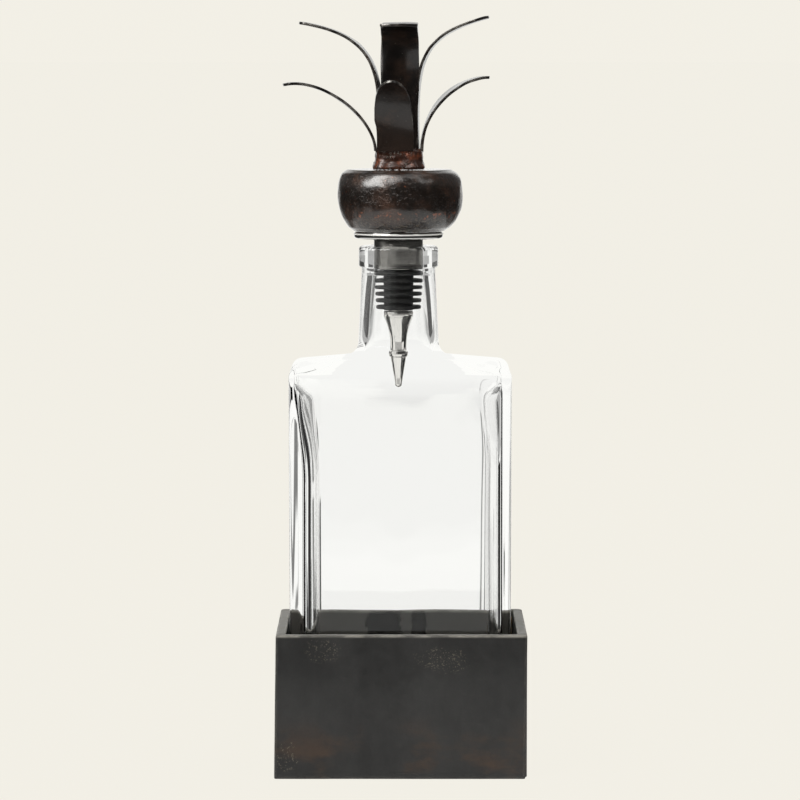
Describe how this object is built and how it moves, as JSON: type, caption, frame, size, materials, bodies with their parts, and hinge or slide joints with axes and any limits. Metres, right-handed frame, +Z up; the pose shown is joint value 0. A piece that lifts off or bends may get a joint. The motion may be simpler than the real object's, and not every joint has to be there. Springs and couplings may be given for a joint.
{
  "type": "decanter",
  "caption": "Square clear glass bottle standing in an open welded steel box, with a ribbed stopper topped by a forged ball and curved steel leaves.",
  "frame": {"origin": "middle of the steel box's underside, on the surface it stands on", "axes": "+Z up, +X to the right, and the front of the box and its tall front leaf face -Y"},
  "size_m": [0.106, 0.088, 0.3209],
  "materials": {
    "blackened_steel": "blackened hot-rolled plate, waxed, faintly mottled",
    "weld_steel": "rippled weld bead, heat tinted",
    "clear_glass": "clear thick moulded glass",
    "black_rubber": "satin black rubber",
    "satin_steel": "turned stainless steel, satin",
    "polished_steel": "polished",
    "lacquered_forging": "forged dark steel under glossy lacquer, pitted, with rust flecks",
    "rusty_weld": "lumpy weld, rust brown under lacquer",
    "forged_leaf_steel": "dark brown lacquered sheet with bare cut edges"
  },
  "bodies": {
    "base": {"front_wall_plate": "blackened_steel", "back_wall_plate": "blackened_steel", "left_wall_plate": "blackened_steel", "right_wall_plate": "blackened_steel", "floor_plate": "blackened_steel", "corner_weld_front_left": "weld_steel", "corner_weld_front_right": "weld_steel", "corner_weld_back_left": "weld_steel", "corner_weld_back_right": "weld_steel", "floor_weld_front": "weld_steel", "floor_weld_back": "weld_steel", "floor_weld_left": "weld_steel", "floor_weld_right": "weld_steel"},
    "bottle": {"glass_bottle": "clear_glass"},
    "seal": {"rubber_sleeve": "black_rubber"},
    "stopper": {"stopper_cone": "satin_steel", "stopper_flange": "polished_steel", "threaded_stud": "satin_steel", "forged_ball": "lacquered_forging", "leaf_weld_collar": "rusty_weld", "upper_leaf_left": "forged_leaf_steel", "upper_leaf_right": "forged_leaf_steel", "upper_leaf_front": "forged_leaf_steel", "upper_leaf_back": "forged_leaf_steel", "lower_leaf_left": "forged_leaf_steel", "lower_leaf_right": "forged_leaf_steel", "lower_leaf_front": "forged_leaf_steel", "lower_leaf_back": "forged_leaf_steel"}
  },
  "joints": [
    {"name": "bottle_lift", "type": "slide", "parent": "base", "child": "bottle", "axis": [0, 0, 1], "range_m": [0, 0.07]},
    {"name": "stopper_pull", "type": "slide", "parent": "bottle", "child": "seal", "axis": [0, 0, 1], "range_m": [0, 0.07]},
    {"name": "stopper_twist", "type": "hinge", "parent": "seal", "child": "stopper", "pos_m": [-0.0013, 0, 0.2275], "axis": [0, 0, 1], "continuous": true}
  ]
}
